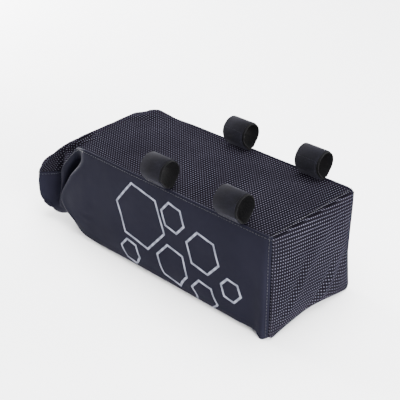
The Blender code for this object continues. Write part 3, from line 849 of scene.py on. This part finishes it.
def tangent_angle(point, radius, side):
    """Where a tape from the point meets the circle of the loop. side: +1 outer, -1 inner."""
    return math.atan2(point[1], point[0]) + side * math.acos(radius / math.hypot(*point))


def loop_outlines():
    """The outer and inner edges of a loop, seen along the tube, about the tube's axis."""
    inner = 0.5 * TUBE_DIAMETER + STRAP_CLEARANCE + STRAP_SLACK
    outer = inner + STRAP_THICKNESS
    edge = abs(body_line(BODY_SECTIONS[3])["seam"][1]) - 0.5 * TUBE_SPACING
    cloth = -TUBE_RISE + STRAP_SEAT
    over_lip = cloth + SEAM_LIP
    beside_lip = edge - WALL - SEAM_GAP - STRAP_SEAT
    foot = [(edge - STRAP_FOOT, cloth), (beside_lip, cloth), (beside_lip, over_lip),
            (edge + STRAP_THICKNESS, over_lip)]
    hollow = [(edge - STRAP_FOOT + STRAP_THICKNESS, cloth + STRAP_THICKNESS),
              (beside_lip - STRAP_THICKNESS, cloth + STRAP_THICKNESS),
              (beside_lip, over_lip + STRAP_THICKNESS), (edge, over_lip + STRAP_THICKNESS)]
    start = tangent_angle((foot[-1][0], foot[-1][1] + STRAP_SLACK), outer, 1)
    end = tangent_angle((foot[0][0], foot[0][1] + STRAP_SLACK), outer, -1) + 2.0 * math.pi
    turns = np.linspace(start, end, ARC_STEPS + 1)
    ring = np.stack([np.cos(turns), np.sin(turns)], axis=1)
    drop = np.array((0.0, STRAP_SLACK))
    return np.vstack([ring * outer - drop, foot]), np.vstack([ring * inner - drop, hollow])


# %% [markdown]
# The tape's nap has no gloss at all, while the hook side is plain dull black nylon.

# %% Pile tape and its black inner face
def pile_tape():
    """Pressed polyester pile: dull, slightly blue grey, with a short nap that has no gloss."""
    material, tree, shader = new_material("polyester pile tape")
    place = add_node(tree, "ShaderNodeTexCoord").outputs["Object"]
    nap = add_node(tree, "ShaderNodeTexNoise", {"Vector": place, "Scale": 900.0, "Detail": 3.0})
    worn = add_node(tree, "ShaderNodeTexNoise", {"Vector": place, "Scale": 70.0, "Detail": 2.0})
    mixed = add_node(tree, "ShaderNodeMath", {
        0: nap.outputs["Fac"], 1: worn.outputs["Fac"],
    }, operation="MULTIPLY")
    shade = add_node(tree, "ShaderNodeMapRange", {
        "Value": mixed.outputs[0], "From Min": 0.12, "From Max": 0.4,
    }).outputs["Result"]
    colour = add_node(tree, "ShaderNodeMix", {
        "Factor": shade, 6: linear("#040406"), 7: linear("#0b0b11"),
    }, data_type="RGBA")
    bump = add_node(tree, "ShaderNodeBump", {
        "Height": nap.outputs["Fac"], "Strength": 0.5, "Distance": 0.3 * MM,
    })
    tree.links.new(colour.outputs[2], shader.inputs["Base Color"])
    tree.links.new(bump.outputs["Normal"], shader.inputs["Normal"])
    shader.inputs["Roughness"].default_value = 0.95
    shader.inputs["Specular IOR Level"].default_value = 0.08
    shader.inputs["Sheen Weight"].default_value = 0.03
    shader.inputs["Sheen Roughness"].default_value = 0.5
    shader.inputs["Sheen Tint"].default_value = linear("#8c8aa6")
    return material


def hook_face():
    """The black nylon hook side of the tape, which also shows at its cut edges."""
    material, tree, shader = new_material("black nylon hook face")
    place = add_node(tree, "ShaderNodeTexCoord").outputs["Object"]
    hooks = add_node(tree, "ShaderNodeTexVoronoi", {"Vector": place, "Scale": 800.0})
    bump = add_node(tree, "ShaderNodeBump", {
        "Height": hooks.outputs["Distance"], "Strength": 0.5, "Distance": 0.3 * MM,
    })
    tree.links.new(bump.outputs["Normal"], shader.inputs["Normal"])
    shader.inputs["Base Color"].default_value = linear("#030304")
    shader.inputs["Roughness"].default_value = 0.8
    shader.inputs["Specular IOR Level"].default_value = 0.08
    return material


PILE = pile_tape()
HOOK = hook_face()
print("tape finishes:", PILE.name, "and", HOOK.name)

# %% [markdown]
# A loop has three layers. The black hook tape lies inside and is a little wider than the pile,
# so it shows as a dark ring at the rear edge. That ring is partly the tape's own black and partly
# painted shade for the shadowed gap between loop and tube. The pile lies over it, and the free end
# of the tape laps over the pile on the inner side of the bag, where a rider pulls it open.

# %% Loops as pieces
HOOK_SHARE = 0.5                  # of the tape's thickness
# How far the pile stops short of the rear edge: the black hook tape bared there is partly its own colour and
# partly painted shade for the gap between loop and tube
PILE_CUT_FOR_SHADE_RING = 2.5 * MM
END_THICKNESS = 0.9 * MM
END_REACH = 1.15                  # how far up the loop its free end laps, in radians


def band(out, inn, low, high, place):
    """A closed shell between two lines of the same length, from one edge to the other."""
    count = len(out)
    vertices = [place(x, *point) for x, line in ((low, out), (high, out), (high, inn), (low, inn))
                for point in line]
    faces = []
    for ring in range(4):
        for k in range(count - 1):
            a, b = ring * count + k, ring * count + k + 1
            c, d = ((ring + 1) % 4) * count + k + 1, ((ring + 1) % 4) * count + k
            faces.append((a, b, c, d))
    faces.append((0, 3 * count, 2 * count, count))
    faces.append((count - 1, 2 * count - 1, 3 * count - 1, 4 * count - 1))
    return vertices, faces


def closed(line):
    """The line with its first point added at the end."""
    return np.vstack([line, line[:1]])


def loop_piece(name, side, node):
    """The three tape layers round one tube, with softened edges."""
    low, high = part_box(node)
    middle_x = 0.5 * (low[0] + high[0])

    def place(x, out, up):
        return (middle_x + x, side * (0.5 * TUBE_SPACING + out), TOP_HEIGHT + TUBE_RISE + up)

    outside, inside = loop_outlines()
    between = inside + (outside - inside) * HOOK_SHARE
    half = 0.5 * STRAP_WIDTH
    radius = np.linalg.norm(outside[ARC_STEPS] + (0.0, STRAP_SLACK))
    last = math.atan2(outside[ARC_STEPS][1] + STRAP_SLACK, outside[ARC_STEPS][0]) + 2.0 * math.pi
    turns = np.linspace(last - END_REACH, last, 24)
    arc = np.stack([np.cos(turns), np.sin(turns)], axis=1)
    drop = np.array((0.0, STRAP_SLACK))
    lap_in = arc * (radius + 0.05 * MM) - drop
    lap_out = arc * (radius + END_THICKNESS) - drop
    layers = (
        (closed(between), closed(inside), -half, half, 1),
        (closed(outside), closed(between), -half, half - PILE_CUT_FOR_SHADE_RING, 0),
        (lap_out, lap_in, -half + 1.0 * MM, half - PILE_CUT_FOR_SHADE_RING - 1.0 * MM, 0),
    )
    mesh = bpy.data.meshes.new(name)
    shell = bmesh.new()
    for out, inn, start, end, kind in layers:
        vertices, faces = band(out, inn, start, end, place)
        points = [shell.verts.new(vertex) for vertex in vertices]
        for face in faces:
            if len(set(face)) == 4:
                shell.faces.new([points[i] for i in face]).material_index = kind
    bmesh.ops.remove_doubles(shell, verts=shell.verts, dist=0.001 * MM)
    loose = [face for face in shell.faces if face.calc_area() < 1e-12]
    bmesh.ops.delete(shell, geom=loose, context="FACES")
    bmesh.ops.recalc_face_normals(shell, faces=shell.faces)
    shell.to_mesh(mesh)
    shell.free()
    mesh.materials.append(PILE)
    mesh.materials.append(HOOK)
    mesh.shade_smooth()
    piece = bpy.data.objects.new(name, mesh)
    bpy.context.scene.collection.objects.link(piece)
    soft = piece.modifiers.new("softened edges", "BEVEL")
    soft.width = STRAP_EDGE
    soft.segments = 2
    soft.limit_method = "ANGLE"
    soft.angle_limit = math.radians(50.0)
    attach(piece, "root")
    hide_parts(node)
    return piece


for name, (side, node) in LOOPS.items():
    loop_piece(name, side, node)
print("loops:", len(LOOPS))

# %% [markdown]
# ## Stitches
# Every seam of the coated panel is stitched down a few millimetres from its edge with black
# thread. Geometry Nodes suit a thing that repeats along a path: a line is cut into steps of one
# stitch, and the same small spindle of thread is set on each step and turned along the line.

# %% Tree that sews a line
STITCH_LENGTH = 2.7 * MM
STITCH_STEP = 3.5 * MM
THREAD_WIDTH = 0.55 * MM
THREAD_BANDS = 3.49 * MM           # spacing of the bump, coarser than a thread's real twist
SEAM_TO_STITCH = 2.6 * MM


def bonded_thread():
    """Bonded nylon thread: black and slightly glossy, with a faint uneven bump."""
    material, tree, shader = new_material("bonded nylon thread")
    place = add_node(tree, "ShaderNodeTexCoord").outputs["Object"]
    twist = add_node(tree, "ShaderNodeTexWave", {
        "Vector": place, "Scale": STRAIGHT_WAVE / THREAD_BANDS, "Distortion": 2.0,
    })
    bump = add_node(tree, "ShaderNodeBump", {
        "Height": twist.outputs["Fac"], "Strength": 0.3, "Distance": 0.1 * MM,
    })
    tree.links.new(bump.outputs["Normal"], shader.inputs["Normal"])
    shader.inputs["Base Color"].default_value = linear("#0c0c10")
    shader.inputs["Roughness"].default_value = 0.45
    shader.inputs["Specular IOR Level"].default_value = 0.3
    return material


def sewing_tree(thread):
    """Named inputs for the sizes of a row of stitches; the row is a plain mesh in the end."""
    tree = bpy.data.node_groups.new("row of stitches", "GeometryNodeTree")
    tree.interface.new_socket("Geometry", in_out="INPUT", socket_type="NodeSocketGeometry")
    for title in ("Stitch step", "Stitch length", "Thread width"):
        tree.interface.new_socket(title, in_out="INPUT", socket_type="NodeSocketFloat")
    tree.interface.new_socket("Geometry", in_out="OUTPUT", socket_type="NodeSocketGeometry")
    given = add_node(tree, "NodeGroupInput")
    steps = add_node(tree, "GeometryNodeResampleCurve", {
        "Curve": given.outputs["Geometry"], "Length": given.outputs["Stitch step"],
    }, mode="LENGTH")
    tangent = add_node(tree, "GeometryNodeInputTangent")
    turn = add_node(tree, "FunctionNodeAlignRotationToVector", {"Vector": tangent.outputs[0]}, axis="Z")
    ball = add_node(tree, "GeometryNodeMeshUVSphere", {"Segments": 8, "Rings": 6, "Radius": 0.5})
    size = add_node(tree, "ShaderNodeCombineXYZ", {
        "X": given.outputs["Thread width"], "Y": given.outputs["Thread width"],
        "Z": given.outputs["Stitch length"],
    })
    row = add_node(tree, "GeometryNodeInstanceOnPoints", {
        "Points": steps.outputs[0], "Instance": ball.outputs[0],
        "Rotation": turn.outputs[0], "Scale": size.outputs[0],
    })
    real = add_node(tree, "GeometryNodeRealizeInstances", {0: row.outputs[0]})
    smooth = add_node(tree, "GeometryNodeSetShadeSmooth", {0: real.outputs[0]})
    finish = add_node(tree, "GeometryNodeSetMaterial", {0: smooth.outputs[0], "Material": thread})
    add_node(tree, "NodeGroupOutput", {0: finish.outputs[0]})
    return tree


THREAD = bonded_thread()
SEWING = sewing_tree(THREAD)
print("sewing tree nodes:", len(SEWING.nodes))

# %% [markdown]
# The lines to sew are read from the nets: a fixed distance in from an edge, a hair above the
# cloth. The photograph is too small to show stitches, so their size is an ordinary guess.

# %% Lines to sew
def inset_line(net, sign, distance, lift):
    """The line on the outside of a net, at a distance from its first column."""
    away = run_length(net, 1)
    raised = net + outward(net, sign) * lift
    line = []
    for row, reach in zip(raised, away):
        line.append([np.interp(distance, reach, row[:, axis]) for axis in range(3)])
    return np.array(line)


def above_floor(line):
    """The parts of a line that are clear of the floor, as separate lines."""
    clear = line[:, 2] > 3.0 * MM
    cuts = np.flatnonzero(np.diff(clear.astype(int))) + 1
    return [part for part, keep in zip(np.split(line, cuts), np.split(clear, cuts)) if keep[0]]


def seam_lines():
    """Every line of stitches on the panels."""
    lift = 0.25 * THREAD_WIDTH
    turned = belly_net.transpose(1, 0, 2)
    lines = [
        inset_line(belly_net[:-4], 1.0, SEAM_TO_STITCH, lift),
        inset_line(belly_net[:-4, ::-1], -1.0, SEAM_TO_STITCH, lift),
        inset_line(top_net.transpose(1, 0, 2), 1.0, SEAM_TO_STITCH, lift),
    ]
    lines += above_floor(inset_line(turned, -1.0, SEAM_TO_STITCH, lift))
    front = inset_line(turned[:, ::-1], 1.0, SEAM_TO_STITCH, lift)
    lines.append(front[8:-8])
    return lines


def loop_lines(side, node):
    """One bar of stitches across a loop, just above the seam that holds it."""
    low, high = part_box(node)
    outside, _ = loop_outlines()
    foot, ring = outside[-1], outside[0]
    way = (ring - foot) / np.linalg.norm(ring - foot)
    spot = foot + way * 4.0 * MM + np.array((way[1], -way[0])) * 0.1 * MM
    xs = np.linspace(low[0] + 2.5 * MM, high[0] - 5.0 * MM, 12)
    y = side * (0.5 * TUBE_SPACING + spot[0])
    return [np.array([(x, y, TOP_HEIGHT + TUBE_RISE + spot[1]) for x in xs])]


def sew(name, lines):
    """Stitches along lines, as one plain mesh."""
    path = bpy.data.curves.new(name + "_path", "CURVE")
    path.dimensions = "3D"
    for line in lines:
        spline = path.splines.new("POLY")
        spline.points.add(len(line) - 1)
        flat = np.hstack([line, np.ones((len(line), 1))])
        spline.points.foreach_set("co", flat.ravel())
    carrier = bpy.data.objects.new(name + "_path", path)
    bpy.context.scene.collection.objects.link(carrier)
    modifier = carrier.modifiers.new("sewing", "NODES")
    modifier.node_group = SEWING
    sizes = {"Stitch step": STITCH_STEP, "Stitch length": STITCH_LENGTH, "Thread width": THREAD_WIDTH}
    for item in SEWING.interface.items_tree:
        if item.name in sizes:
            modifier[item.identifier] = sizes[item.name]
    graph = bpy.context.evaluated_depsgraph_get()
    mesh = bpy.data.meshes.new_from_object(carrier.evaluated_get(graph), depsgraph=graph)
    mesh.name = name
    bpy.data.objects.remove(carrier)
    piece = bpy.data.objects.new(name, mesh)
    bpy.context.scene.collection.objects.link(piece)
    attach(piece, "root")
    print(name, "faces:", len(mesh.polygons))
    return piece


lines = seam_lines()
print("lines of stitches:", len(lines))
sew("panel_stitches", lines)
for name, (side, node) in LOOPS.items():
    sew(name + "_stitches", loop_lines(side, node))
